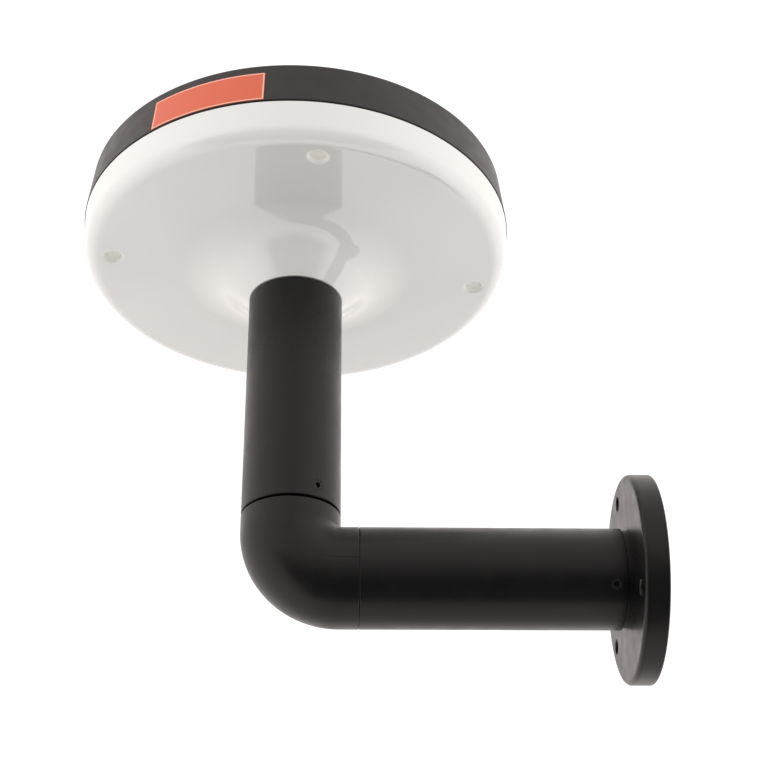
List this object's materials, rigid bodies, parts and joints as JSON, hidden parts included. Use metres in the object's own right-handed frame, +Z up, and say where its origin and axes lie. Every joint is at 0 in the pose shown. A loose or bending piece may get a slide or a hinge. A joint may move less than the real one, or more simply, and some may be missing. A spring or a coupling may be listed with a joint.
{
  "type": "solar wall light",
  "caption": "Round solar lamp head with an opal underside and a panel on top, on an upright post, elbow, level arm and wall flange, both tubes clamped by grub screws.",
  "frame": {"origin": "centre of the flange's back face, on the wall", "axes": "+X into the wall along the arm's axis, -X towards the post, +Z up along the post"},
  "size_m": [0.2819, 0.2238, 0.2712],
  "materials": {
    "bracket_paint": "satin black powder coat",
    "housing_black": "fine-textured black moulding",
    "opal": "glossy opal white moulding",
    "panel_glass": "clear tempered glass",
    "solar_cell": "dark blue cell",
    "ribbon": "tinned",
    "backsheet": "black laminate",
    "seal_rubber": "matte",
    "screw_steel": "zinc plated",
    "grub_steel": "black oxide",
    "insert_brass": "knurled",
    "controller_green": "solder mask",
    "board_white": "white solder mask",
    "led_yellow": "phosphor",
    "component_black": "moulded",
    "socket_white": "moulded",
    "cell_can": "shrink wrapped can",
    "tray_black": "moulded",
    "contact_nickel": "nickel plated",
    "lead_red": "silicone insulation",
    "label_orange": "printed film, blank"
  },
  "bodies": {
    "wall_bracket": {"wall_flange": "bracket_paint"},
    "arm": {"arm_tube": "bracket_paint", "arm_grub_screws": "grub_steel", "elbow": "bracket_paint"},
    "head": {"post_tube": "bracket_paint", "post_grub_screws": "grub_steel", "head_stem": "bracket_paint", "stem_screws": "screw_steel", "head_housing": "housing_black", "diffuser": "opal", "diffuser_gasket": "seal_rubber", "diffuser_screws": "screw_steel", "screw_inserts": "insert_brass", "led_board": "board_white", "led_chips": "led_yellow", "led_board_screws": "screw_steel", "battery_tray": "tray_black", "battery_cells": "cell_can", "battery_contacts": "contact_nickel", "controller_board": "controller_green", "controller_parts": "component_black", "controller_sockets": "socket_white", "controller_screws": "screw_steel", "deck_grommet": "seal_rubber", "panel_leads": "lead_red", "led_leads": "lead_red", "battery_leads": "lead_red", "label": "label_orange", "panel_seal": "seal_rubber", "panel_backsheet": "backsheet", "solar_cells": "solar_cell", "cell_ribbons": "ribbon", "panel_glass": "panel_glass"}
  },
  "joints": [
    {"name": "arm_roll", "type": "hinge", "parent": "wall_bracket", "child": "arm", "pos_m": [0, 0, 0], "axis": [1, 0, 0], "continuous": true},
    {"name": "post_turn", "type": "hinge", "parent": "arm", "child": "head", "pos_m": [-0.17, 0, 0], "axis": [0, 0, 1], "continuous": true}
  ]
}
